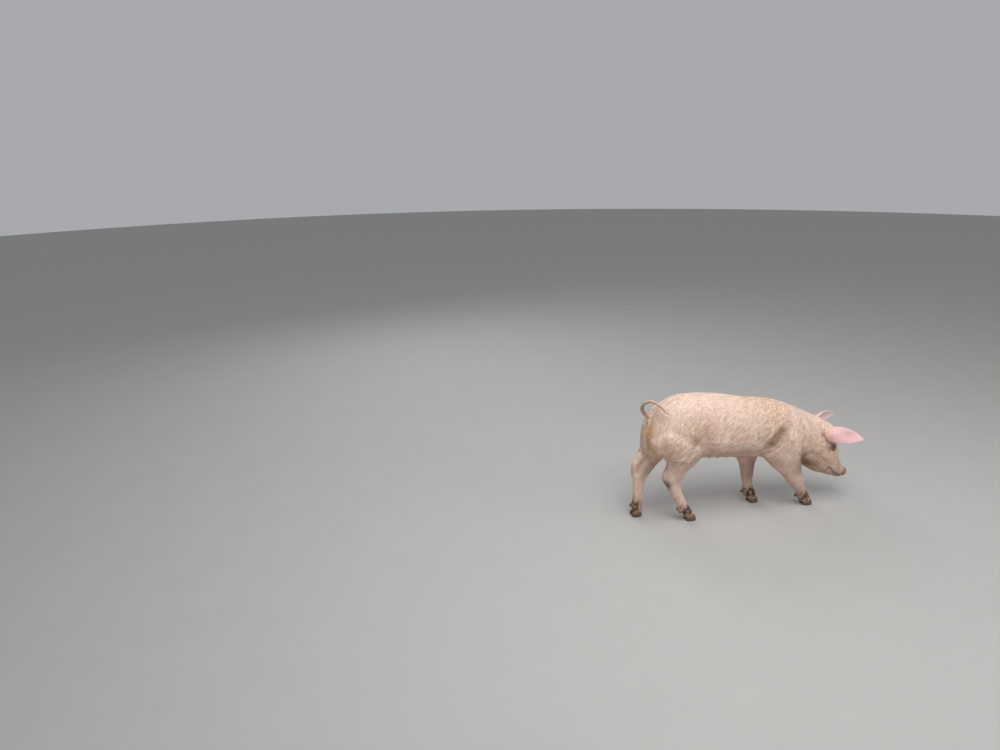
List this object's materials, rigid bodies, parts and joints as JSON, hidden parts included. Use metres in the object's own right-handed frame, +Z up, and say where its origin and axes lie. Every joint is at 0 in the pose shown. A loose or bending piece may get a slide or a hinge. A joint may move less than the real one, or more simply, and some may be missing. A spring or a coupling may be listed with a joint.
{
  "type": "piglet",
  "caption": "Still, life-size pink piglet of about six weeks, walking with lowered head, curled tail and forward ears, standing on its claws.",
  "frame": {"origin": "on the floor under the middle of the piglet's bounding box", "axes": "+X towards the snout, +Y towards the piglet's left side, +Z up from the floor"},
  "size_m": [0.603, 0.1532, 0.3341],
  "materials": {
    "skin": "pink pig skin under short pale golden bristles that lie flat",
    "snout_skin": "bare moist skin, soiled brown",
    "ear_skin": "thin bright pink skin with fine pale hair",
    "tail_skin": "reddish-brown skin with short bristles",
    "claw": "tan-brown horn, darker and soiled at the sole",
    "eye": "dark brown wet eye"
  },
  "bodies": {
    "root": {"torso": "skin", "neck": "skin", "head": "skin", "snout_disc": "snout_skin", "ear_right": "ear_skin", "ear_left": "ear_skin", "eye_right": "eye", "eye_left": "eye", "tail_base": "tail_skin", "tail_curl": "tail_skin", "tail_tip": "tail_skin", "hind_leg_upper_right": "skin", "hind_leg_lower_right": "skin", "hind_leg_upper_left": "skin", "hind_leg_lower_left": "skin", "fore_leg_upper_right": "skin", "fore_leg_lower_right": "skin", "fore_leg_upper_left": "skin", "fore_leg_lower_left": "skin", "hind_right_claw_outer": "claw", "hind_right_claw_inner": "claw", "hind_right_dewclaw_outer": "claw", "hind_right_dewclaw_inner": "claw", "hind_left_claw_outer": "claw", "hind_left_claw_inner": "claw", "hind_left_dewclaw_outer": "claw", "hind_left_dewclaw_inner": "claw", "fore_right_claw_outer": "claw", "fore_right_claw_inner": "claw", "fore_right_dewclaw_outer": "claw", "fore_right_dewclaw_inner": "claw", "fore_left_claw_outer": "claw", "fore_left_claw_inner": "claw", "fore_left_dewclaw_outer": "claw", "fore_left_dewclaw_inner": "claw"}
  },
  "joints": []
}
